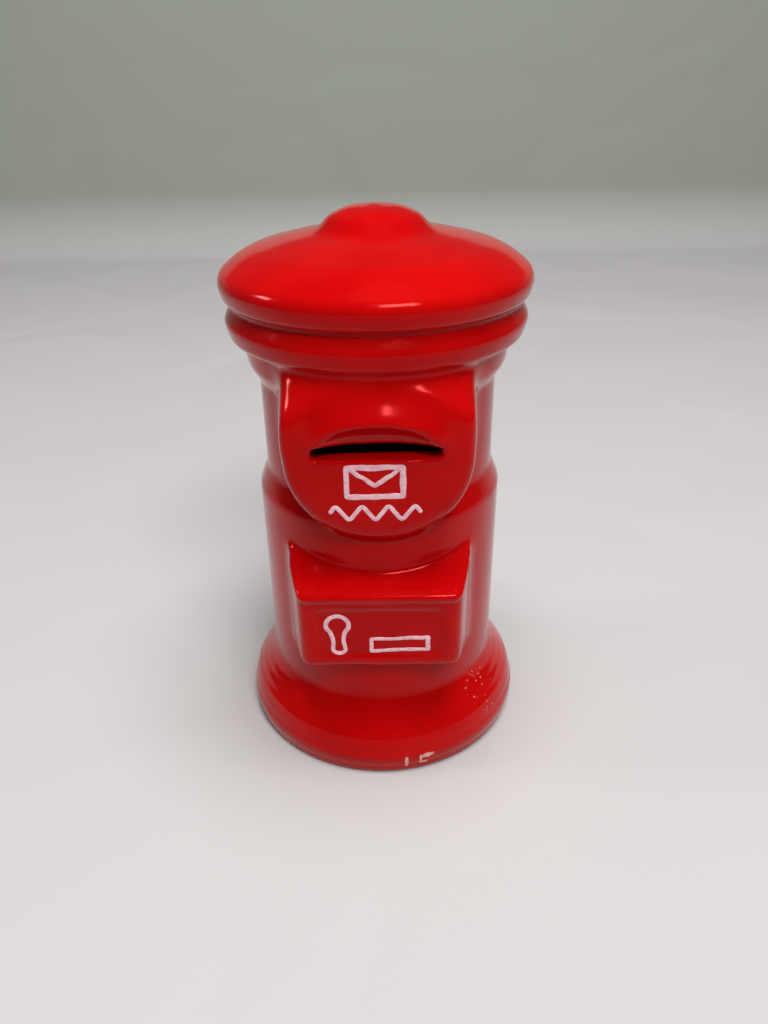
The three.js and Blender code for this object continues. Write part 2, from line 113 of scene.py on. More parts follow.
class PlateSizes(bpy.types.PropertyGroup):
    """Sizes of the letter plate, its hood and the coin slot."""

    radius: length("Radius", "Radius of the plate's round lower half", 24.9)
    centre_height: length("Centre height", "Height of that round's centre", 105.3)
    front: length("Front", "Distance of the plate's face from the axis", 40.5)
    turn: angle("Turn", "How far round to the left the plate sits", 1.0)
    top_slope: FloatProperty(name="Top slope", description="How steeply the top falls back to the neck", default=0.9)
    hood_half_width: length("Hood half width", "Half the width of the hood", 20.0)
    hood_rise: length("Hood rise", "Height of the hood above its middle", 13.5)
    hood_reach: length("Hood reach", "How far the hood stands out", 4.4)
    hood_above_slot: length("Hood above slot", "Middle of the hood above the slot", 1.5)
    slot_length: length("Slot length", "Length of the coin slot", 33.0)
    slot_height: length("Slot height", "Height of the coin slot", 3.5)
    slot_centre_height: length("Slot centre height", "Height of the slot's middle", 106.7)
    slot_offset: length("Slot offset", "How far the slot sits off centre, to the left", 0.5)
    slot_tilt: angle("Slot tilt", "Tilt of the hand-cut slot", 0.4)
    scoop_rise: length("Scoop rise", "Height of the hollow over the slot", 8.2)
    scoop_depth: length("Scoop depth", "Depth of the hollow behind the plate's face", 2.2)
    wall_behind_scoop: length("Wall behind scoop", "Clay left behind the hollow", 2.6)


class CollectionBoxSizes(bpy.types.PropertyGroup):
    """Sizes of the collection box on the lower drum."""

    front_half_width: length("Front half width", "Half the width of the front", 22.2)
    back_half_width: length("Back half width", "Half the width at the drum", 26.2)
    front: length("Front", "Distance of the front from the axis", 42.5)
    turn: angle("Turn", "How far round to the left the box sits", 1.6)
    bottom: length("Bottom", "Height of the lower edge", 40.5)
    lip_height: length("Lip height", "Height of the roof's front edge", 65.3)
    roof_rise: length("Roof rise", "Climb of the roof from the lip to the body's middle", 17.5)
    lip_reach: length("Lip reach", "How far the roof's lip stands out", 1.0)
    lip_thickness: length("Lip thickness", "Height of the lip", 2.8)
    corner_round: length("Corner round", "Rounding of the upright corners", 3.0)
    panel_margin: length("Panel margin", "Rim around the sunk panel", 4.6)
    panel_depth: length("Panel depth", "Depth of the sunk panel", 0.6)


class BungSizes(bpy.types.PropertyGroup):
    """Sizes of the rubber bung."""

    clearance: length("Clearance", "Gap to the hole all round", 0.2)
    depth: length("Depth", "Barrel length above the floor's underside", 9.0)
    flange_radius: length("Flange radius", "Radius of the flange", 18.5)
    flange_thickness: length("Flange thickness", "Thickness of the flange", 1.8)
    wall: length("Wall", "Rubber thickness", 2.6)
    taper: length("Taper", "How much the barrel narrows", 0.8)
    bar_width: length("Bar width", "Width of the pull bar", 3.2)
    seat_gap: length("Seat gap", "Flange to the floor", 0.3)
    grain: length("Grain", "Edge of the fine mesh's squares", 0.34)


class MarkSizes(bpy.types.PropertyGroup):
    """Sizes of the hand-painted marks."""

    wide_brush: length("Wide brush", "Width of the broad strokes", 1.6)
    fine_brush: length("Fine brush", "Width of the fine strokes", 1.2)
    flap_depth: length("Flap depth", "How far the envelope's flap comes down", 5.0)
    slant: length("Slant", "How far the name plate is out of square", 0.5)
    film: length("Film", "How far dried enamel stands out of the glaze", 0.09)


class FinishColours(bpy.types.PropertyGroup):
    """Colours of the finishes, as sRGB hex codes."""

    glaze: colour("Glaze", "Red glaze at full thickness", "#A80305")
    glaze_thin: colour("Thin glaze", "Red glaze drawn thin over an edge", "#B50708")
    glaze_pooled: colour("Pooled glaze", "Red glaze pooled in a crease", "#780103")
    glaze_glint: colour("Glaze glint", "Tint of the reflections seen straight on", "#FF6A66")
    # The chip colour also paints the pale specks on the base's right side, which are a painted reflection of the lamps,
    # not chips.
    chip_and_painted_glint: colour("Chip", "Pale clay where the glaze has chipped off", "#E0A79A")
    pinhole: colour("Pinhole", "Dark pinholes in the glaze", "#3A0505")
    bisque: colour("Bisque", "Bare fired clay", "#E3D5C4")
    enamel: colour("Enamel", "White enamel where it is thick", "#EDC3CB")
    enamel_thin: colour("Thin enamel", "White enamel thin over red", "#DEA0AD")
    rubber: colour("Rubber", "Soft grey rubber", "#A9A69E")
    cloth: colour("Cloth", "Pale studio cloth", "#B4B1B1")
    # The backdrop colour is painted shade: darker than the cloth, standing in for the light falling off up the
    # backdrop.
    shaded_backdrop: colour("Backdrop", "Pale backdrop", "#8F938A")


class StudioSettings(bpy.types.PropertyGroup):
    """Camera and light of the studio."""

    camera_distance: length("Camera distance", "Camera in front of the axis", 220.56)
    camera_height: length("Camera height", "Camera above the floor", 189.91)
    camera_side: FloatProperty(
        name="Camera side", description="Camera to the right of the axis", default=-2.61 * MM, unit="LENGTH"
    )
    pitch: angle("Pitch", "Camera tilt downwards", 28.99)
    roll: angle("Roll", "Camera roll", -0.92)
    yaw: angle("Yaw", "Camera turn to the right", 0.99)
    lens: FloatProperty(name="Lens", description="Focal length", default=28.125, unit="CAMERA")
    strength: FloatProperty(name="Light strength", description="Overall light level", default=1.0, min=0.0)


GROUPS = {
    "money_box_body": TurnedBodySizes,
    "money_box_plate": PlateSizes,
    "money_box_collection": CollectionBoxSizes,
    "money_box_bung": BungSizes,
    "money_box_marks": MarkSizes,
    "money_box_colours": FinishColours,
    "money_box_studio": StudioSettings,
}


# ---- Shapes ---------------------------------------------------------------------------------


def outline_face(bm, corners, place):
    """A flat face through corners (a, b, fillet), each rounded by bevelling its vertex."""
    corners = [(c[0], c[1], c[2] if len(c) > 2 else 0.0) for c in corners]
    verts = [bm.verts.new(place(a, b)) for a, b, _ in corners]
    face = bm.faces.new(verts)
    count = len(verts)
    spots = [v.co.copy() for v in verts]
    for i, vert in enumerate(verts):
        fillet = corners[i][2]
        if fillet <= 0.0:
            continue
        before = spots[i - 1] - spots[i]
        after = spots[(i + 1) % count] - spots[i]
        half = before.angle(after) / 2
        reach = min(fillet / math.tan(half), 0.48 * before.length, 0.48 * after.length)
        bend = math.pi - 2 * half
        bmesh.ops.bevel(
            bm, geom=[vert], offset=reach, offset_type="OFFSET", affect="VERTICES",
            segments=max(2, math.ceil(bend / math.radians(6))), profile=0.5, material=-1,
            clamp_overlap=False,
        )
    return bm.faces[:][-1] if not face.is_valid else face


def half_section(bm, corners):
    """An open line through corners (radius, height, fillet) that start and end on the axis."""
    outline_face(bm, corners, front_view)
    bmesh.ops.delete(bm, geom=bm.faces[:], context="FACES_ONLY")
    on_axis = [e for e in bm.edges if all(abs(v.co.x) < TINY for v in e.verts)]
    bmesh.ops.delete(bm, geom=on_axis, context="EDGES")


def spun(bm, corners, steps):
    """A solid of revolution about +Z from its half section."""
    half_section(bm, corners)
    bmesh.ops.spin(
        bm, geom=bm.verts[:] + bm.edges[:], cent=(0, 0, 0), axis=(0, 0, 1), dvec=(0, 0, 0),
        angle=2 * math.pi, steps=steps, use_merge=True, use_duplicate=False,
    )
    bmesh.ops.remove_doubles(bm, verts=bm.verts, dist=1e-6)
    bmesh.ops.recalc_face_normals(bm, faces=bm.faces)


def ribbon(bm, corners):
    """The half section as a thin ribbon along Y, to measure distances to the turned surface."""
    half_section(bm, corners)
    made = bmesh.ops.extrude_edge_only(bm, edges=bm.edges[:])
    moved = [g for g in made["geom"] if isinstance(g, bmesh.types.BMVert)]
    bmesh.ops.translate(bm, verts=moved, vec=(0, MM, 0))
    bmesh.ops.translate(bm, verts=bm.verts, vec=(0, -MM / 2, 0))
    bmesh.ops.recalc_face_normals(bm, faces=bm.faces)


def prism(bm, corners, place, along):
    """An outline pushed along a vector into a closed slab."""
    face = outline_face(bm, corners, place)
    made = bmesh.ops.extrude_face_region(bm, geom=[face])
    moved = [g for g in made["geom"] if isinstance(g, bmesh.types.BMVert)]
    bmesh.ops.translate(bm, verts=moved, vec=along)
    bmesh.ops.recalc_face_normals(bm, faces=bm.faces)


def slice_off(bm, point, normal):
    """Cuts away what lies on the normal's side of a plane and closes the cut."""
    cut = bmesh.ops.bisect_plane(
        bm, geom=bm.verts[:] + bm.edges[:] + bm.faces[:], plane_co=point, plane_no=normal, clear_outer=True
    )
    edges = [g for g in cut["geom_cut"] if isinstance(g, bmesh.types.BMEdge)]
    bmesh.ops.contextual_create(bm, geom=edges)
    bmesh.ops.recalc_face_normals(bm, faces=bm.faces)


def soften(bm, radius):
    """Rounds every edge."""
    bmesh.ops.bevel(
        bm, geom=bm.edges[:], offset=radius, offset_type="OFFSET", affect="EDGES",
        segments=5, profile=0.5, material=-1, clamp_overlap=True,
    )


def mesh_from(build):
    """A mesh filled by a function that models in a bmesh."""
    bm = bmesh.new()
    build(bm)
    mesh = bpy.data.meshes.new("shape")
    bm.to_mesh(mesh)
    bm.free()
    return mesh


def object_from(name, mesh):
    """A mesh as an object at the origin of the scene."""
    mesh.name = name
    obj = bpy.data.objects.new(name, mesh)
    bpy.context.scene.collection.objects.link(obj)
    return obj


def applied(obj):
    """The object's mesh with its modifiers applied, as the object's own."""
    bpy.context.view_layer.update()
    evaluated = obj.evaluated_get(bpy.context.evaluated_depsgraph_get())
    mesh = bpy.data.meshes.new_from_object(evaluated)
    obj.modifiers.clear()
    obj.data = mesh
    mesh.name = obj.name
    return mesh


# ---- Casting: forms that run into each other with soft fillets ---------------------------------


def worn_smooth(mesh, grain, passes):
    """The mesh in fine squares with its edges worn round, more with every pass."""
    shape = object_from("worn_shape", mesh)
    squares = shape.modifiers.new("squares", "REMESH")
    squares.mode = "VOXEL"
    squares.voxel_size = grain
    fine = applied(shape)
    bpy.data.objects.remove(shape)
    bm = bmesh.new()
    bm.from_mesh(fine)
    for _ in range(passes):
        bmesh.ops.smooth_vert(bm, verts=bm.verts, factor=0.5, use_axis_x=True, use_axis_y=True, use_axis_z=True)
    bm.to_mesh(fine)
    bm.free()
    return fine


class Form:
    """A closed shape that can say how far a point is outside it, and in which direction."""

    def __init__(self, build, fillet, is_cut=False, turned_about=None, worn=0, grain=0.8 * MM):
        self.fillet = fillet
        self.is_cut = is_cut
        self.turned_about = turned_about
        self.mesh = mesh_from(build)
        if worn:
            self.mesh = worn_smooth(self.mesh, grain, worn)
        bm = bmesh.new()
        bm.from_mesh(self.mesh)
        if turned_about is None:
            self.tree = BVHTree.FromBMesh(bm)
        else:
            section = bmesh.new()
            ribbon(section, turned_about["corners"])
            self.tree = BVHTree.FromBMesh(section)
            section.free()
        corners = [v.co for v in bm.verts]
        reach = Vector((1, 1, 1)) * (2.5 * fillet + 2 * MM)
        self.low = Vector(min(c[i] for c in corners) for i in range(3)) - reach
        self.high = Vector(max(c[i] for c in corners) for i in range(3)) + reach
        bm.free()

    def is_near(self, point):
        return all(self.low[i] <= point[i] <= self.high[i] for i in range(3))

    def distance(self, point):
        """(signed distance, outward direction) of a point, negative inside."""
        if self.turned_about is None:
            spot, normal, _, _ = self.tree.find_nearest(point)
            away = point - spot
            gap = away.length
            if away.dot(normal) < 0:
                return -gap, (-away / gap if gap > 1e-9 else normal)
            return gap, (away / gap if gap > 1e-9 else normal)
        to_own, to_world = self.turned_about["to_own"], self.turned_about["to_world"]
        own = to_own @ point
        radius = math.hypot(own.x, own.y)
        flat = Vector((radius, 0.0, own.z))
        spot, normal, _, _ = self.tree.find_nearest(flat)
        away = flat - spot
        gap = away.length
        if gap < 1e-9:
            sign, direction = 1.0, normal
        else:
            sign = -1.0 if away.dot(normal) < 0 else 1.0
            direction = away / gap * sign
        if radius > 1e-9:
            out = Vector((own.x / radius * direction.x, own.y / radius * direction.x, direction.z))
        else:
            out = Vector((0.0, 0.0, direction.z))
        return sign * gap, to_world @ out


def soft_form(forms, point):
    """Signed distance and direction of all forms run together, each with its own fillet."""
    total, slope = None, None
    for form in forms:
        if total is not None and not form.is_near(point):
            continue
        gap, direction = form.distance(point)
        if form.is_cut:
            gap, direction = -gap, -direction
        if total is None:
            total, slope = gap, direction
            continue
        turn = -1.0 if form.is_cut else 1.0
        a, b = turn * gap, turn * total
        mix = min(max(0.5 + 0.5 * (b - a) / form.fillet, 0.0), 1.0)
        total = turn * (b + (a - b) * mix - form.fillet * mix * (1 - mix))
        slope = direction * mix + slope * (1 - mix)
    return total, slope


def settle(bm, forms, rounds):
    """Moves every vertex onto the soft joint surface of the forms."""
    longest = 1.5 * MM
    for _ in range(rounds):
        for vert in bm.verts:
            gap, slope = soft_form(forms, vert.co)
            step = slope * (gap / max(slope.length_squared, 0.2))
            if step.length > longest:
                step = step.normalized() * longest
            vert.co -= step


def cast(name, forms, grain):
    """One fine, soft-edged mesh from forms that are joined and cut in their order."""
    rough = object_from(name, forms[0].mesh)
    tools = []
    for form in forms[1:]:
        tool = object_from(name + "_tool", form.mesh)
        tools.append(tool)
        modifier = rough.modifiers.new("join", "BOOLEAN")
        modifier.operation = "DIFFERENCE" if form.is_cut else "UNION"
        modifier.solver = "EXACT"
        modifier.object = tool
    squares = rough.modifiers.new("squares", "REMESH")
    squares.mode = "VOXEL"
    squares.voxel_size = grain
    mesh = applied(rough)
    for tool in tools:
        bpy.data.objects.remove(tool)
    bm = bmesh.new()
    bm.from_mesh(mesh)
    for _ in range(3):
        bmesh.ops.smooth_vert(bm, verts=bm.verts, factor=0.5, use_axis_x=True, use_axis_y=True, use_axis_z=True)
    settle(bm, forms, 3)
    bmesh.ops.smooth_vert(bm, verts=bm.verts, factor=0.4, use_axis_x=True, use_axis_y=True, use_axis_z=True)
    settle(bm, forms, 1)
    for face in bm.faces:
        face.smooth = True
    bm.to_mesh(mesh)
    bm.free()
    return rough


# ---- The body -------------------------------------------------------------------------------


def levels(body):
    """Heights and radii of the turned body that follow from its sizes."""
    waist = body.base_height + body.lower_drum_height
    upper_drum = waist + body.waist_rise
    neck = upper_drum + body.upper_drum_height
    groove = neck + body.neck_height
    rim = groove + body.cap_rim_height
    dome = rim + body.cap_dome_rise
    upper_ring = body.upper_drum_radius + body.upper_ring_swell
    return {
        "waist": waist,
        "upper_drum": upper_drum,
        "neck": neck,
        "crease": neck + body.neck_height / 2,
        "groove": groove,
        "rim": rim,
        "dome": dome,
        "top": dome + body.knob_height,
        "lower_ring_radius": body.upper_drum_radius + body.lower_ring_swell,
        "upper_ring_radius": upper_ring,
        "crease_radius": upper_ring - 4.4 * MM,
        "foot_radius": body.base_radius - 1.1 * MM,
    }


def body_outline(body):
    """The outside of the turned body, from the knob down to the blind hole in the foot."""
    at = levels(body)
    upper, lower = at["upper_ring_radius"], at["lower_ring_radius"]
    hole_top = body.foot_recess + body.wall * 0.6
    return [
        (0, at["top"]),
        (body.knob_radius * 0.45, at["top"] - 0.6 * MM, 12 * MM),
        (body.knob_radius * 0.78, at["top"] - 2.6 * MM, 5 * MM),
        (body.knob_radius, at["dome"] + 0.6 * MM, 4 * MM),
        (body.knob_radius * 1.5, at["dome"] - 0.9 * MM, 40 * MM),
        (body.cap_radius * 0.83, at["rim"] + 5.8 * MM, 30 * MM),
        (body.cap_radius + 0.1 * MM, at["rim"], 4.3 * MM),
        (body.cap_radius - 1.2 * MM, at["groove"] + 1.3 * MM, 2.6 * MM),
        (upper - 2.3 * MM, at["groove"], 0.8 * MM),
        (upper, at["groove"] - 4.5 * MM, 2.4 * MM),
        (upper - 1.2 * MM, at["crease"] + 1.4 * MM, 2.4 * MM),
        (at["crease_radius"], at["crease"], 0.8 * MM),
        (lower, at["neck"] + 4.6 * MM, 5.3 * MM),
        (body.upper_drum_radius, at["neck"], 1.6 * MM),
        (body.upper_drum_radius, at["upper_drum"], 3 * MM),
        (body.lower_drum_radius, at["waist"], 4 * MM),
        (body.lower_drum_radius - 0.2 * MM, body.base_height, 3 * MM),
        (body.lower_drum_radius + 1.6 * MM, body.base_height - 3.4 * MM, 3 * MM),
        (body.base_radius - 1.7 * MM, body.base_edge_height + 6.7 * MM, 10 * MM),
        (body.base_radius, body.base_edge_height, 3 * MM),
        (at["foot_radius"], 0, 1.2 * MM),
        (at["foot_radius"] - body.foot_ring_width, 0, 0.8 * MM),
        (at["foot_radius"] - body.foot_ring_width - 1 * MM, body.foot_recess, 1.2 * MM),
        (body.hole_radius, body.foot_recess, 0.4 * MM),
        (body.hole_radius, hole_top, 0.3 * MM),
        (0, hole_top),
    ]


def front_view(x, z):
    """A point of a front view, on the middle plane."""
    return Vector((x, 0.0, z))


def turn_left(bm, degrees):
    """Turns a shape drawn straight in front to where it sits, round to the left."""
    bmesh.ops.rotate(bm, cent=(0, 0, 0), matrix=Matrix.Rotation(-degrees, 3, "Z"), verts=bm.verts)


def build_plate(bm, body, plate):
    """The letter plate: round below, upright sides above, and a top that falls back into the neck's crease."""
    at = levels(body)
    bottom = plate.centre_height - plate.radius
    top = at["crease"] + 4 * MM
    half = plate.radius
    corners = [(half, top), (-half, top), (-half, bottom, half), (half, bottom, half)]
    prism(bm, corners, front_view, (0, -plate.front, 0))
    crease_radius = at["crease_radius"] + 0.5 * MM
    for degrees in range(-60, 61, 5):
        out = Vector((math.sin(math.radians(degrees)), -math.cos(math.radians(degrees)), 0))
        rim = out * crease_radius + Vector((0, 0, at["crease"]))
        slice_off(bm, rim, out + Vector((0, 0, plate.top_slope)))
    turn_left(bm, plate.turn)


def build_ellipsoid(bm, halves, centre):
    """An ellipsoid with the given half lengths."""
    bmesh.ops.create_uvsphere(bm, u_segments=96, v_segments=48, radius=1.0)
    bmesh.ops.transform(bm, matrix=Matrix.Diagonal((*halves, 1.0)), verts=bm.verts)
    bmesh.ops.translate(bm, verts=bm.verts, vec=centre)


def build_hood(bm, plate):
    """The arched hood over the slot."""
    centre = (0, plate.hood_reach - plate.front, plate.slot_centre_height + plate.hood_above_slot)
    build_ellipsoid(bm, (plate.hood_half_width, plate.hood_reach * 2, plate.hood_rise), centre)
    slice_off(bm, Vector((0, 0, plate.slot_centre_height - plate.slot_height / 2)), Vector((0, 0, -1)))
    turn_left(bm, plate.turn)


def build_scoop(bm, plate):
    """The hollow that runs from the hood's lower edge in to the slot."""
    centre = (-plate.slot_offset, -plate.front - plate.hood_reach, plate.slot_centre_height)
    halves = (plate.slot_length / 2 + 1 * MM, plate.hood_reach + plate.scoop_depth, plate.scoop_rise)
    build_ellipsoid(bm, halves, centre)
    slice_off(bm, Vector((0, 0, plate.slot_centre_height - plate.slot_height / 2)), Vector((0, 0, -1)))
    turn_left(bm, plate.turn)


def build_slot(bm, plate):
    """The hand-cut coin slot, with round ends and a slight tilt."""
    half, high = plate.slot_length / 2, plate.slot_height / 2
    corner = high * 0.9
    corners = [(-half, -high, corner), (half, -high, corner), (half, high, corner), (-half, high, corner)]
    prism(bm, corners, front_view, (0, 30 * MM, 0))
    bmesh.ops.rotate(bm, cent=(0, 0, 0), matrix=Matrix.Rotation(-plate.slot_tilt, 3, "Y"), verts=bm.verts)
    bmesh.ops.translate(bm, verts=bm.verts, vec=(-plate.slot_offset, -61 * MM, plate.slot_centre_height))
    turn_left(bm, plate.turn)


def box_plan(box, reach, grow):
    """Half-plan corners of the collection box seen from above, mirrored into a closed outline."""
    front = box.front + reach
    right = [
        (box.back_half_width + grow, -20 * MM),
        (box.back_half_width - 0.8 * MM + grow, -(box.front - 11 * MM), 20 * MM),
        (box.front_half_width + grow, -front, box.corner_round),
    ]
    left = [(-c[0], *c[1:]) for c in reversed(right)]
    return right + left


def plan_view(x, y):
    """A point of a plan, on the floor."""
    return Vector((x, y, 0.0))


def roof_slope(box):
    """The direction of the roof on its way up and back."""
    return Vector((0, box.front + box.lip_reach, box.roof_rise)).normalized()


def build_box_case(bm, box):
    """The collection box below its lid."""
    prism(bm, box_plan(box, 0.0, 0.0), plan_view, (0, 0, 90 * MM))
    slope = roof_slope(box)
    lip = Vector((0, -box.front, box.lip_height - 1 * MM))
    slice_off(bm, lip, Vector((0, -slope.z, slope.y)))
    foot = Vector((0, -box.front, box.bottom))
    slice_off(bm, foot, Vector((0, -0.18, -1)))
    turn_left(bm, box.turn)


def build_box_lid(bm, box):
    """The sloping lid, whose lip stands a little proud of the case."""
    prism(bm, box_plan(box, box.lip_reach, 0.5 * MM), plan_view, (0, 0, 90 * MM))
    slope = roof_slope(box)
    lip = Vector((0, -box.front - box.lip_reach, box.lip_height))
    slice_off(bm, lip, Vector((0, -slope.z, slope.y)))
    slice_off(bm, lip - Vector((0, 0, box.lip_thickness)), Vector((0, slope.z, -slope.y)))
    turn_left(bm, box.turn)


def build_panel(bm, box):
    """The shallow panel sunk in the front of the collection box."""
    half = box.front_half_width - box.panel_margin
    bottom = box.bottom + 4.1 * MM
    top = box.lip_height - box.lip_thickness - 2.2 * MM
    corners = [(-half, bottom, 2 * MM), (half, bottom, 2 * MM), (half, top, 2 * MM), (-half, top, 2 * MM)]
    prism(bm, corners, front_view, (0, 10 * MM, 0))
    bmesh.ops.translate(bm, verts=bm.verts, vec=(0, -box.front + box.panel_depth - 10 * MM, 0))
    turn_left(bm, box.turn)


def build_hollow(bm, body):
    """The hollow of the cast body and of its plate, with the hole in the floor."""
    at = levels(body)
    wall = body.wall
    floor = body.foot_recess + wall
    spun(bm, [
        (0, at["dome"] - wall),
        (body.knob_radius * 1.5, at["dome"] - 0.9 * MM - wall),
        (body.cap_radius * 0.83, at["rim"] + 0.6 * MM, 3 * MM),
        (body.cap_radius - wall - 3.5 * MM, at["groove"]),
        (body.upper_drum_radius - wall, at["neck"] + 3 * MM, 3 * MM),
        (body.upper_drum_radius - wall, at["upper_drum"], 3 * MM),
        (body.lower_drum_radius - wall, at["waist"], 3 * MM),
        (body.lower_drum_radius - wall, body.base_height - 2 * MM, 4 * MM),
        (body.base_radius - wall - 2.5 * MM, floor + 3 * MM, 3 * MM),
        (body.base_radius - wall - 5 * MM, floor, 1 * MM),
        (body.hole_radius, floor),
        (body.hole_radius, body.foot_recess + wall / 2),
        (0, body.foot_recess + wall / 2),
    ], 72)


def build_plate_hollow(bm, plate):
    """The hollow behind the letter plate that the slot opens into."""
    half = plate.radius * 0.7
    low, high = plate.slot_centre_height - 12 * MM, plate.slot_centre_height + 6 * MM
    corners = [(-half, low, 4 * MM), (half, low, 4 * MM), (half, high, 4 * MM), (-half, high, 4 * MM)]
    prism(bm, corners, front_view, (0, plate.front / 2, 0))
    front = plate.front - plate.scoop_depth - plate.wall_behind_scoop
    bmesh.ops.translate(bm, verts=bm.verts, vec=(0, -front, 0))


def turned_form(corners, to_world, fillet, steps):
    """A turned form whose distances are measured on its outline, so that it is perfectly round."""
    def build(bm):
        spun(bm, corners, steps)
        bmesh.ops.transform(bm, matrix=to_world, verts=bm.verts)

    about = {"corners": corners, "to_own": to_world.inverted(), "to_world": to_world.to_3x3()}
    return Form(build, fillet, turned_about=about)


class MONEYBOX_OT_body(bpy.types.Operator):
    """Cast the hollow ceramic body with its plate, slot and collection box"""

    bl_idname = "money_box.body"
    bl_label = "Ceramic Body"
    bl_options = {"REGISTER", "UNDO"}

    def execute(self, context):
        scene = context.scene
        body, plate, box = scene.money_box_body, scene.money_box_plate, scene.money_box_collection
        forms = [
            turned_form(body_outline(body), Matrix.Identity(4), 1 * MM, 96),
            Form(lambda bm: build_plate(bm, body, plate), 3.6 * MM, worn=60),
            Form(lambda bm: build_hood(bm, plate), 2.0 * MM, worn=4, grain=0.6 * MM),
            Form(lambda bm: build_box_case(bm, box), 2.6 * MM, worn=16),
            Form(lambda bm: build_box_lid(bm, box), 1.0 * MM, worn=26, grain=0.6 * MM),
            Form(lambda bm: build_panel(bm, box), 0.9 * MM, is_cut=True),
            Form(lambda bm: build_scoop(bm, plate), 1.1 * MM, is_cut=True),
            Form(lambda bm: build_slot(bm, plate), 0.6 * MM, is_cut=True),
        ]
        piece = cast("glazed_body", forms, body.grain)
        piece.data.materials.append(red_glaze(scene.money_box_colours))
        piece.data.materials.append(bisque(scene.money_box_colours))
        tools = []
        for build in (lambda bm: build_hollow(bm, body), lambda bm: build_plate_hollow(bm, plate)):
            tool = object_from("hollow_tool", mesh_from(build))
            tool.data.materials.append(piece.data.materials[1])
            tools.append(tool)
            modifier = piece.modifiers.new("hollow", "BOOLEAN")
            modifier.operation = "DIFFERENCE"
            modifier.solver = "EXACT"
            modifier.material_mode = "TRANSFER"
            modifier.object = tool
        applied(piece)
        for tool in tools:
            bpy.data.objects.remove(tool)
        bare_foot(piece, body)
        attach(piece, BODY)
        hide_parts("ceramic_body")
        return {"FINISHED"}


def bare_foot(piece, body):
    """Gives the faces that stand on the kiln shelf the bare clay."""
    for polygon in piece.data.polygons:
        is_foot = polygon.normal.z < -0.9 and polygon.center.z < 0.15 * MM
        if is_foot:
            polygon.material_index = 1


# ---- The bung -------------------------------------------------------------------------------


def bung_outline(body, bung):
    """The bung's cup, from the top of its barrel round to the inside of its recess."""
    barrel = body.hole_radius - bung.clearance
    flange_top = body.foot_recess - bung.seat_gap
    flange_bottom = flange_top - bung.flange_thickness
    top = body.foot_recess + bung.depth
    return [
        (0, top),
        (barrel - bung.taper, top, 1.2 * MM),
        (barrel, flange_top, 0.3 * MM),
        (bung.flange_radius, flange_top, 0.6 * MM),
        (bung.flange_radius, flange_bottom, 0.6 * MM),
        (barrel - bung.wall, flange_bottom, 0.7 * MM),
        (barrel - bung.wall - bung.taper, top - bung.wall, 1.5 * MM),
        (0, top - bung.wall),
    ]


def build_pull_bar(bm, body, bung):
    """The bar across the recess that a fingertip pulls."""
    barrel = body.hole_radius - bung.clearance
    bottom = body.foot_recess - bung.seat_gap - bung.flange_thickness + 0.4 * MM
    top = body.foot_recess + bung.depth - bung.wall / 2
    size = Vector((2 * (barrel - bung.wall / 2), bung.bar_width, top - bottom))
    bmesh.ops.create_cube(bm, size=1.0)
    bmesh.ops.transform(bm, matrix=Matrix.Diagonal((*size, 1.0)), verts=bm.verts)
    bmesh.ops.translate(bm, verts=bm.verts, vec=(0, 0, (top + bottom) / 2))
    soften(bm, 0.9 * MM)


class MONEYBOX_OT_bung(bpy.types.Operator):
    """Mould the rubber bung that closes the hole in the base"""

    bl_idname = "money_box.bung"
    bl_label = "Base Bung"
    bl_options = {"REGISTER", "UNDO"}

    def execute(self, context):
        scene = context.scene
        body, bung = scene.money_box_body, scene.money_box_bung
        forms = [
            turned_form(bung_outline(body, bung), Matrix.Identity(4), 0.5 * MM, 96),
            Form(lambda bm: build_pull_bar(bm, body, bung), 0.8 * MM),
        ]
        piece = cast("rubber_bung", forms, bung.grain)
        piece.data.materials.append(soft_rubber(scene.money_box_colours))
        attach(piece, BUNG)
        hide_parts("base_bung")
        return {"FINISHED"}


# ---- Painted marks --------------------------------------------------------------------------


def brush_line(route, closed, width, sharp=0.5):
    """A brush stroke along (x, z) points as a tube mesh about the middle plane, with drawn-out round ends."""
    curve = bpy.data.curves.new("stroke", "CURVE")
    curve.dimensions = "3D"
    curve.bevel_depth = width / 2
    curve.bevel_resolution = 5
    curve.use_fill_caps = True
    curve.resolution_u = 8
    spline = curve.splines.new("BEZIER")
    spline.bezier_points.add(len(route) - 1)
    spline.use_cyclic_u = closed
    count = len(route)
    for i, (x, z, *swell) in enumerate(route):
        point = spline.bezier_points[i]
        here = Vector((x, 0, z))
        before = Vector((route[i - 1][0], 0, route[i - 1][1])) if (closed or i) else here
        after_at = (i + 1) % count if closed else min(i + 1, count - 1)
        after = Vector((route[after_at][0], 0, route[after_at][1]))
        pull = (after - before) * (sharp / 3)
        point.co = here
        point.handle_left = here - pull
        point.handle_right = here + pull
        point.radius = swell[0] if swell else 1.0
    obj = object_from_curve(curve)
    mesh = bpy.data.meshes.new_from_object(obj.evaluated_get(bpy.context.evaluated_depsgraph_get()))
    bpy.data.objects.remove(obj)
    return mesh


def object_from_curve(curve):
    """A curve as an object in the scene, updated."""
    obj = bpy.data.objects.new("stroke", curve)
    bpy.context.scene.collection.objects.link(obj)
    bpy.context.view_layer.update()
    return obj


def with_ends(route, width):
    """The route with points added so that each end closes in a round."""
    def end(tip, inner):
        away = Vector((tip[0] - inner[0], tip[1] - inner[1])).normalized()
        steps = []
        for share in (0.0, 0.5, 0.8, 0.95, 1.0):
            spot = Vector((tip[0], tip[1])) + away * (share - 1.0) * width / 2
            steps.append((spot.x, spot.y, max(math.sqrt(1 - share * share), 0.12)))
        return steps

    head = list(reversed(end(route[0], route[1])))
    tail = end(route[-1], route[-2])
    return head + route[1:-1] + tail


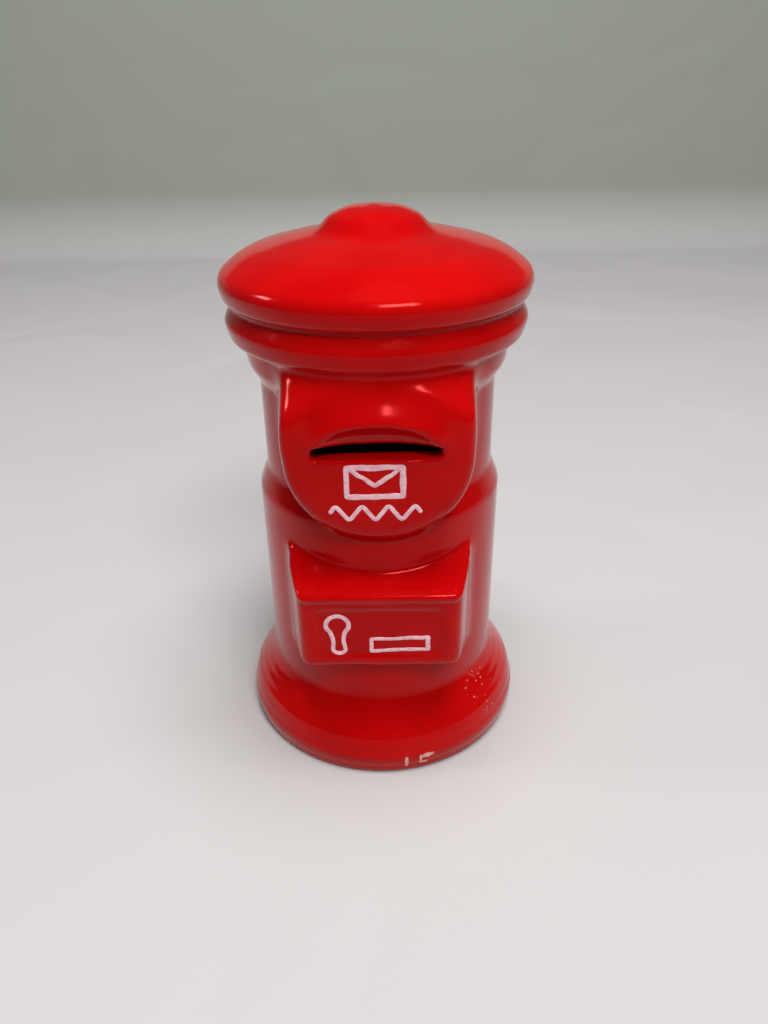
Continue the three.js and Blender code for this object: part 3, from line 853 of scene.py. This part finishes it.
def by_hand(route, closed, step=1.8 * MM, stray=0.11 * MM, swell=0.13):
    """The route with points added along it that stray a little and press harder or softer, as a hand does."""
    made = []
    last = len(route) if closed else len(route) - 1
    for i in range(last):
        here, there = Vector(route[i][:2]), Vector(route[(i + 1) % len(route)][:2])
        pieces = max(1, round((there - here).length / step))
        for j in range(pieces):
            spot = here.lerp(there, j / pieces)
            turn = 2.4 * len(made) + 900 * (spot.x + 1.7 * spot.y)
            slip = stray if j else 0.0
            made.append((
                spot.x + slip * math.sin(turn * 1.3), spot.y + slip * math.cos(turn * 1.7), 1 + swell * math.sin(turn)))
    if not closed:
        made.append((*route[-1][:2], 1.0))
    return made


def painted(name, strokes, glazed, film, node):
    """Brush strokes as one piece, pressed flat and seated on the glaze."""
    bm = bmesh.new()
    for route, width, closed, sharp in strokes:
        drawn = by_hand(route, closed) if sharp < 0.3 else route
        line = drawn if closed else with_ends(drawn, width)
        mesh = brush_line(line, closed, width, sharp)
        start = len(bm.verts)
        bm.from_mesh(mesh)
        bm.verts.ensure_lookup_table()
        flatten = film / (width / 2)
        for vert in bm.verts[start:]:
            out = vert.co.y * flatten
            spot = glazed.ray_cast(Vector((vert.co.x, -80 * MM, vert.co.z)), Vector((0, 1, 0)))[0]
            vert.co.y = spot.y + out
    bmesh.ops.remove_doubles(bm, verts=bm.verts, dist=1e-7)
    bmesh.ops.recalc_face_normals(bm, faces=bm.faces)
    for face in bm.faces:
        face.smooth = True
    mesh = bpy.data.meshes.new(name)
    bm.to_mesh(mesh)
    bm.free()
    piece = object_from(name, mesh)
    piece.data.materials.append(white_enamel(bpy.context.scene.money_box_colours))
    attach(piece, BODY)
    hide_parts(node)
    return piece


def stroke_area(node, width):
    """Where the middle lines of a painted mark's strokes end: left, bottom, right and top."""
    low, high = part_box(node)
    inset = width / 2
    return low.x + inset, low.z + inset, high.x - inset, high.z - inset


def keyhole_route(area):
    """The keyhole's outline: a round head on a foot that flares, 12 units high in all."""
    left, bottom, right, top = area
    unit = (top - bottom) / 12
    head_radius = 3 * unit
    x, z = (left + right) / 2, top - head_radius
    head = []
    for degrees in range(-50, 231, 35):
        turn = math.radians(degrees)
        head.append((x + head_radius * math.cos(turn), z + head_radius * math.sin(turn), 1.1))
    foot = [(-1.2, -5.2), (-1.3, -8.2), (0.4, -9.0), (1.9, -8.1), (1.5, -5.0)]
    return head + [(x + across * unit, z + up * unit) for across, up in foot]


def name_plate_route(area, slant):
    """The name plate's four strokes, drawn by hand a little out of square."""
    left, bottom, right, top = area
    return [(left, top - slant), (left, bottom), (right, bottom + slant), (right, top)]


def envelope_routes(area, flap_depth):
    """The envelope's frame and its flap."""
    left, bottom, right, top = area
    frame_route = [(left, top), (left, bottom), (right, bottom), (right, top)]
    return frame_route, [(left, top), ((left + right) / 2, top - flap_depth), (right, top)]


def flourish_route(area, waves=3.5, points=4):
    """A wavy line with a few points to each wave."""
    left, bottom, right, top = area
    level, swing = (bottom + top) / 2, (top - bottom) / 2
    steps = round(waves * points)
    route = []
    for i in range(steps + 1):
        share = i / steps
        route.append((left + (right - left) * share, level + swing * math.sin(2 * math.pi * waves * share)))
    return route


class MONEYBOX_OT_marks(bpy.types.Operator):
    """Paint the white marks on the letter plate and the collection box"""

    bl_idname = "money_box.marks"
    bl_label = "Painted Marks"
    bl_options = {"REGISTER", "UNDO"}

    def execute(self, context):
        marks = context.scene.money_box_marks
        body = bpy.data.objects.get("glazed_body")
        if body is None:
            raise RuntimeError("cast the ceramic body before painting it")
        bm = bmesh.new()
        bm.from_mesh(body.data)
        glazed = BVHTree.FromBMesh(bm)
        bm.free()
        wide, fine = marks.wide_brush, marks.fine_brush
        frame_route, flap = envelope_routes(stroke_area("painted_envelope", wide), marks.flap_depth)
        strokes = {
            "envelope": [(frame_route, wide, True, 0.2), (flap, fine, False, 0.2)],
            "flourish": [(flourish_route(stroke_area("painted_flourish", wide)), fine, False, 0.5)],
            "keyhole": [(keyhole_route(stroke_area("painted_keyhole", wide)), fine, True, 0.5)],
            "name_plate": [
                (name_plate_route(stroke_area("painted_name_plate", fine), marks.slant), fine, True, 0.2)],
        }
        for mark, routes in strokes.items():
            painted(f"{mark}_mark", routes, glazed, marks.film, f"painted_{mark}")
        return {"FINISHED"}


# ---- Finishes -------------------------------------------------------------------------------


def linear(code):
    """An sRGB hex colour as linear red, green, blue and alpha."""
    parts = [int(code[i:i + 2], 16) / 255 for i in (1, 3, 5)]
    return [p / 12.92 if p <= 0.04045 else ((p + 0.055) / 1.055) ** 2.4 for p in parts] + [1.0]


def add(tree, kind, settings=None, **links):
    """A node of a kind with its settings; each link names an input and the output or value it takes."""
    node = tree.nodes.new(kind)
    for key, value in (settings or {}).items():
        setattr(node, key, value)
    for key, value in links.items():
        name = key.replace("_", " ")
        socket = node.inputs[int(key[1:])] if key[0] == "i" and key[1:].isdigit() else node.inputs[name]
        if isinstance(value, bpy.types.NodeSocket):
            tree.links.new(value, socket)
        else:
            socket.default_value = value
    return node


def finish(name):
    """A new material, its node tree and its principled shader."""
    material = bpy.data.materials.new(name)
    material.use_nodes = True
    tree = material.node_tree
    return material, tree, tree.nodes["Principled BSDF"]


def ramp(node, stops):
    """Sets a colour ramp's stops from (position, linear colour) pairs."""
    elements = node.color_ramp.elements
    while len(elements) < len(stops):
        elements.new(0.5)
    for element, (position, value) in zip(elements, stops):
        element.position = position
        element.color = value


def spot_mask(tree, spots, centre, halves, rough):
    """1 inside a small ragged blot around a point, 0 outside; sizes in millimetres."""
    moved = add(tree, "ShaderNodeVectorMath", {"operation": "SUBTRACT"}, i0=spots, i1=Vector(centre) * MM)
    scaled = add(tree, "ShaderNodeVectorMath", {"operation": "DIVIDE"}, i0=moved.outputs[0], i1=Vector(halves) * MM)
    away = add(tree, "ShaderNodeVectorMath", {"operation": "LENGTH"}, i0=scaled.outputs[0])
    ragged = add(tree, "ShaderNodeMath", {"operation": "MULTIPLY_ADD"}, i0=rough, i1=-1.6, i2=away.outputs["Value"])
    return add(tree, "ShaderNodeMapRange", Value=ragged.outputs[0],
               From_Min=0.05, From_Max=0.25, To_Min=1.0, To_Max=0.0).outputs["Result"]


def larger(tree, first, second):
    """The larger of two values."""
    return add(tree, "ShaderNodeMath", {"operation": "MAXIMUM"}, i0=first, i1=second).outputs[0]


def product(tree, first, second):
    """The product of two values."""
    return add(tree, "ShaderNodeMath", {"operation": "MULTIPLY"}, i0=first, i1=second).outputs[0]


def red_glaze(colours):
    """Glossy red glaze: deep where it pools, brighter where thin, with pinholes, pale chips at the foot and pale specks
    on the base's right that are a painted reflection of the lamps.
    """
    material, tree, shader = finish("red_earthenware_glaze")
    spots = add(tree, "ShaderNodeTexCoord").outputs["Object"]
    height = add(tree, "ShaderNodeSeparateXYZ", Vector=spots).outputs["Z"]
    drift = add(tree, "ShaderNodeTexNoise", Vector=spots, Scale=1 / (22 * MM), Detail=3.0, Roughness=0.5)
    base = add(tree, "ShaderNodeValToRGB", Fac=drift.outputs["Fac"])
    ramp(base, [(0.35, linear(colours.glaze)), (0.7, linear(colours.glaze_thin))])
    edge = add(tree, "ShaderNodeNewGeometry").outputs["Pointiness"]
    pooled = add(tree, "ShaderNodeMapRange", Value=edge, From_Min=0.40, From_Max=0.495, To_Min=1.0, To_Max=0.0)
    tint = add(tree, "ShaderNodeMix", {"data_type": "RGBA"}, i0=pooled.outputs["Result"],
               i6=base.outputs["Color"], i7=linear(colours.glaze_pooled))

    rough = add(tree, "ShaderNodeTexNoise", Vector=spots, Scale=1 / (0.9 * MM), Detail=3.0).outputs["Fac"]
    chip_and_painted_glint = spot_mask(tree, spots, (6.2, -44.2, 4.2), (0.7, 2.0, 2.4), rough)
    for centre, halves in (((12.6, -42.6, 5.9), (1.9, 2.0, 0.9)), ((11.2, -42.8, 3.2), (1.6, 2.0, 0.5)), ((10.6, -42.8, 5.2), (0.5, 2.0, 1.4))):
        chip_and_painted_glint = larger(tree, chip_and_painted_glint, spot_mask(tree, spots, centre, halves, rough))
    # The pale specks on the base's right side are a painted reflection of the lamps in the glaze. They are drawn like
    # chips, with the chip colour, a rougher finish and a sunk bump.
    grit = add(tree, "ShaderNodeTexVoronoi", Vector=spots, Scale=1 / (1.5 * MM)).outputs["Distance"]
    painted_glint_specks = add(tree, "ShaderNodeMapRange", Value=grit, From_Min=0.13, From_Max=0.2, To_Min=0.8, To_Max=0.0)
    where = spot_mask(tree, spots, (30.4, -26.1, 16.6), (6.0, 7.0, 8.0), rough)
    chip_and_painted_glint = larger(tree, chip_and_painted_glint, product(tree, painted_glint_specks.outputs["Result"], where))
    # Pale chip colour over the real chips at the foot and over the painted reflection specks.
    chipped = add(tree, "ShaderNodeMix", {"data_type": "RGBA"}, i0=chip_and_painted_glint, i6=tint.outputs[2], i7=linear(colours.chip_and_painted_glint))
    cells = add(tree, "ShaderNodeTexVoronoi", Vector=spots, Scale=1 / (17 * MM)).outputs["Distance"]
    pinhole = add(tree, "ShaderNodeMapRange", Value=cells, From_Min=0.012, From_Max=0.022, To_Min=1.0, To_Max=0.0)
    pitted = add(tree, "ShaderNodeMix", {"data_type": "RGBA"}, i0=pinhole.outputs["Result"],
                 i6=chipped.outputs[2], i7=linear(colours.pinhole))
    tree.links.new(pitted.outputs[2], shader.inputs["Base Color"])

    ripple = add(tree, "ShaderNodeTexNoise", Vector=spots, Scale=1 / (9 * MM), Detail=2.0)
    bump = add(tree, "ShaderNodeBump", Height=ripple.outputs["Fac"], Strength=0.06, Distance=0.6 * MM)
    rings = add(tree, "ShaderNodeTexWave", {"bands_direction": "Z"}, Vector=spots, Scale=0.314 / (2.9 * MM),
                Distortion=0.6, Detail=1.0)
    on_foot = add(tree, "ShaderNodeMapRange", Value=height,
                  From_Min=17 * MM, From_Max=21 * MM, To_Min=1.0, To_Max=0.0)
    ridge = product(tree, rings.outputs["Fac"], on_foot.outputs["Result"])
    turned = add(tree, "ShaderNodeBump", Height=ridge, Strength=0.25, Distance=0.25 * MM, Normal=bump.outputs["Normal"])
    sunk = add(tree, "ShaderNodeBump", {"invert": True}, Height=larger(tree, chip_and_painted_glint, pinhole.outputs["Result"]),
               Strength=0.6, Distance=0.15 * MM, Normal=turned.outputs["Normal"])
    tree.links.new(sunk.outputs["Normal"], shader.inputs["Normal"])
    gloss = add(tree, "ShaderNodeMapRange", Value=chip_and_painted_glint, To_Min=0.12, To_Max=0.7)
    tree.links.new(gloss.outputs["Result"], shader.inputs["Roughness"])
    shader.inputs["IOR"].default_value = 1.5
    shader.inputs["Specular Tint"].default_value = linear(colours.glaze_glint)
    return material


def bisque(colours):
    """Bare fired clay: matt, cream and finely grained."""
    material, tree, shader = finish("bare_bisque")
    spots = add(tree, "ShaderNodeTexCoord").outputs["Object"]
    grit = add(tree, "ShaderNodeTexNoise", Vector=spots, Scale=1 / (0.7 * MM), Detail=4.0)
    shade = add(tree, "ShaderNodeValToRGB", Fac=grit.outputs["Fac"])
    dark = [c * 0.72 for c in linear(colours.bisque)[:3]] + [1.0]
    ramp(shade, [(0.3, dark), (0.65, linear(colours.bisque))])
    tree.links.new(shade.outputs["Color"], shader.inputs["Base Color"])
    bump = add(tree, "ShaderNodeBump", Height=grit.outputs["Fac"], Strength=0.4, Distance=0.1 * MM)
    tree.links.new(bump.outputs["Normal"], shader.inputs["Normal"])
    shader.inputs["Roughness"].default_value = 0.9
    return material


def white_enamel(colours):
    """Hand-brushed white enamel: thick ridges nearly white, thin streaks letting the red through."""
    name = "brushed_white_enamel"
    if name in bpy.data.materials:
        return bpy.data.materials[name]
    material, tree, shader = finish(name)
    spots = add(tree, "ShaderNodeTexCoord").outputs["Object"]
    streak = add(tree, "ShaderNodeTexNoise", Vector=spots, Scale=1 / (1.6 * MM), Detail=3.0, Distortion=0.6)
    shade = add(tree, "ShaderNodeValToRGB", Fac=streak.outputs["Fac"])
    ramp(shade, [(0.35, linear(colours.enamel_thin)), (0.62, linear(colours.enamel))])
    tree.links.new(shade.outputs["Color"], shader.inputs["Base Color"])
    bump = add(tree, "ShaderNodeBump", Height=streak.outputs["Fac"], Strength=0.05, Distance=0.05 * MM)
    tree.links.new(bump.outputs["Normal"], shader.inputs["Normal"])
    shader.inputs["Roughness"].default_value = 0.35
    return material


def soft_rubber(colours):
    """Soft moulded rubber: matt grey with a fine dusty bloom."""
    material, tree, shader = finish("soft_grey_rubber")
    spots = add(tree, "ShaderNodeTexCoord").outputs["Object"]
    bloom = add(tree, "ShaderNodeTexNoise", Vector=spots, Scale=1 / (3 * MM), Detail=5.0)
    shade = add(tree, "ShaderNodeValToRGB", Fac=bloom.outputs["Fac"])
    dark = [c * 0.7 for c in linear(colours.rubber)[:3]] + [1.0]
    ramp(shade, [(0.3, dark), (0.7, linear(colours.rubber))])
    tree.links.new(shade.outputs["Color"], shader.inputs["Base Color"])
    grain = add(tree, "ShaderNodeTexNoise", Vector=spots, Scale=1 / (0.35 * MM), Detail=2.0)
    bump = add(tree, "ShaderNodeBump", Height=grain.outputs["Fac"], Strength=0.25, Distance=0.05 * MM)
    tree.links.new(bump.outputs["Normal"], shader.inputs["Normal"])
    shader.inputs["Roughness"].default_value = 0.72
    return material


def studio_cloth(colours):
    """Pale studio cloth: an even weave, soft folds and no sheen, darkened towards the backdrop colour as it rises,
    which is painted shade.
    """
    material, tree, shader = finish("pale_studio_cloth")
    spots = add(tree, "ShaderNodeTexCoord").outputs["Object"]
    weave = add(tree, "ShaderNodeTexNoise", Vector=spots, Scale=1 / (0.8 * MM), Detail=2.0)
    bump = add(tree, "ShaderNodeBump", Height=weave.outputs["Fac"], Strength=0.25, Distance=0.15 * MM)
    # Painted shade: over the first 60 mm up from the floor, the cloth turns into the darker backdrop colour, standing
    # in for the light falling off up the backdrop.
    height = add(tree, "ShaderNodeSeparateXYZ", Vector=spots).outputs["Z"]
    shade = add(tree, "ShaderNodeMapRange", Value=height, From_Min=0.0, From_Max=60 * MM)
    tint = add(tree, "ShaderNodeMix", {"data_type": "RGBA"}, i0=shade.outputs["Result"],
               i6=linear(colours.cloth), i7=linear(colours.shaded_backdrop))
    tree.links.new(tint.outputs[2], shader.inputs["Base Color"])
    folds = add(tree, "ShaderNodeTexNoise", Vector=spots, Scale=1 / (160 * MM), Detail=1.5, Distortion=0.8)
    creased = add(tree, "ShaderNodeBump", Height=folds.outputs["Fac"], Strength=0.55, Distance=14 * MM,
                  Normal=bump.outputs["Normal"])
    tree.links.new(creased.outputs["Normal"], shader.inputs["Normal"])
    shader.inputs["Roughness"].default_value = 0.85
    return material


# ---- The studio -----------------------------------------------------------------------------


def build_floor(bm):
    """A floor that curves up into a backdrop, as one sheet."""
    half, near, far, top, round_off = 1.6, -1.2, 0.80, 0.42, 0.07
    verts = [bm.verts.new((-half, y, z)) for y, z in ((near, 0), (far, 0), (far + 0.12, top))]
    edges = [bm.edges.new((verts[i], verts[i + 1])) for i in range(len(verts) - 1)]
    made = bmesh.ops.extrude_edge_only(bm, edges=edges)
    moved = [g for g in made["geom"] if isinstance(g, bmesh.types.BMVert)]
    bmesh.ops.translate(bm, verts=moved, vec=(2 * half, 0, 0))
    fold = [e for e in bm.edges if len(e.link_faces) == 2]
    bmesh.ops.bevel(
        bm, geom=fold, offset=round_off, offset_type="OFFSET", affect="EDGES",
        segments=24, profile=0.5, material=-1, clamp_overlap=True,
    )
    bmesh.ops.recalc_face_normals(bm, faces=bm.faces)
    if bm.faces[0].normal.z < 0:
        bmesh.ops.reverse_faces(bm, faces=bm.faces)
    for face in bm.faces:
        face.smooth = True


def soft_light(name, place, aim, size, watts, tint=(1.0, 1.0, 1.0)):
    """A rectangular soft light that looks at a point."""
    light = bpy.data.lights.new(name, "AREA")
    light.shape = "RECTANGLE"
    light.size, light.size_y = size
    light.energy = watts
    light.color = tint
    obj = bpy.data.objects.new(name, light)
    bpy.context.scene.collection.objects.link(obj)
    obj.location = place
    obj.rotation_euler = (Vector(aim) - Vector(place)).to_track_quat("-Z", "Y").to_euler()
    return obj


class MONEYBOX_OT_stage(bpy.types.Operator):
    """Set up the pale floor, the soft lights and the camera"""

    bl_idname = "money_box.stage"
    bl_label = "Studio"
    bl_options = {"REGISTER", "UNDO"}

    def execute(self, context):
        scene = context.scene
        studio = scene.money_box_studio
        floor = object_from("studio_floor", mesh_from(build_floor))
        floor.data.materials.append(studio_cloth(scene.money_box_colours))

        level = studio.strength
        middle = (0, 0, 0.1)
        ceiling = soft_light("ceiling_bounce", (0.12, -0.12, 1.42), middle, (0.75, 0.75), 24 * level)
        ceiling.visible_glossy = False
        soft_light("front_softbox", (0.21, -0.66, 0.84), middle, (0.36, 0.24), 6.0 * level)
        soft_light("left_window", (-0.95, 0.02, 0.62), middle, (0.20, 0.16), 1.6 * level)

        world = bpy.data.worlds.new("studio_air")
        scene.world = world
        world.use_nodes = True
        world.node_tree.nodes["Background"].inputs["Color"].default_value = (0.8, 0.85, 0.8, 1)
        world.node_tree.nodes["Background"].inputs["Strength"].default_value = 0.08
        scene.view_settings.view_transform = "Standard"

        camera = bpy.data.cameras.new("camera")
        camera.sensor_fit = "AUTO"
        camera.sensor_width = 36.0
        camera.lens = studio.lens
        camera.clip_start = 0.01
        eye = bpy.data.objects.new("camera", camera)
        scene.collection.objects.link(eye)
        eye.matrix_world = camera_pose(studio)
        scene.camera = eye
        return {"FINISHED"}


def camera_pose(studio):
    """The camera's place and turn from its pitch, roll and yaw."""
    pitch, roll, yaw = studio.pitch, studio.roll, studio.yaw
    forward = Vector((
        math.sin(yaw) * math.cos(pitch), math.cos(yaw) * math.cos(pitch), -math.sin(pitch)))
    right = Vector((math.cos(yaw), -math.sin(yaw), 0.0))
    up = right.cross(forward)
    turned_right = right * math.cos(roll) + up * math.sin(roll)
    turned_up = up * math.cos(roll) - right * math.sin(roll)
    place = Vector((studio.camera_side, -studio.camera_distance, studio.camera_height))
    pose = Matrix((turned_right, turned_up, -forward)).transposed().to_4x4()
    pose.translation = place
    return pose


# ---- Panel and registration -----------------------------------------------------------------


class MONEYBOX_PT_panel(bpy.types.Panel):
    """Lists the steps that build the money box, with its sizes"""

    bl_label = "Money Box"
    bl_idname = "MONEYBOX_PT_panel"
    bl_space_type = "VIEW_3D"
    bl_region_type = "UI"
    bl_category = "Money Box"

    def draw(self, context):
        for operator in OPERATORS:
            self.layout.operator(operator.bl_idname)
        for attribute, group in GROUPS.items():
            box = self.layout.box()
            box.label(text=group.__doc__)
            for key in group.__annotations__:
                box.prop(getattr(context.scene, attribute), key)


OPERATORS = (MONEYBOX_OT_body, MONEYBOX_OT_bung, MONEYBOX_OT_marks, MONEYBOX_OT_stage)
CLASSES = (*GROUPS.values(), *OPERATORS, MONEYBOX_PT_panel)


def register():
    for cls in CLASSES:
        bpy.utils.register_class(cls)
    for attribute, group in GROUPS.items():
        setattr(bpy.types.Scene, attribute, PointerProperty(type=group))


def unregister():
    for attribute in GROUPS:
        delattr(bpy.types.Scene, attribute)
    for cls in reversed(CLASSES):
        bpy.utils.unregister_class(cls)


def main():
    """Registers the tools and builds every piece in order."""
    register()
    bpy.ops.money_box.body()
    bpy.ops.money_box.bung()
    bpy.ops.money_box.marks()
    bpy.ops.money_box.stage()


if __name__ == "__main__":
    main()
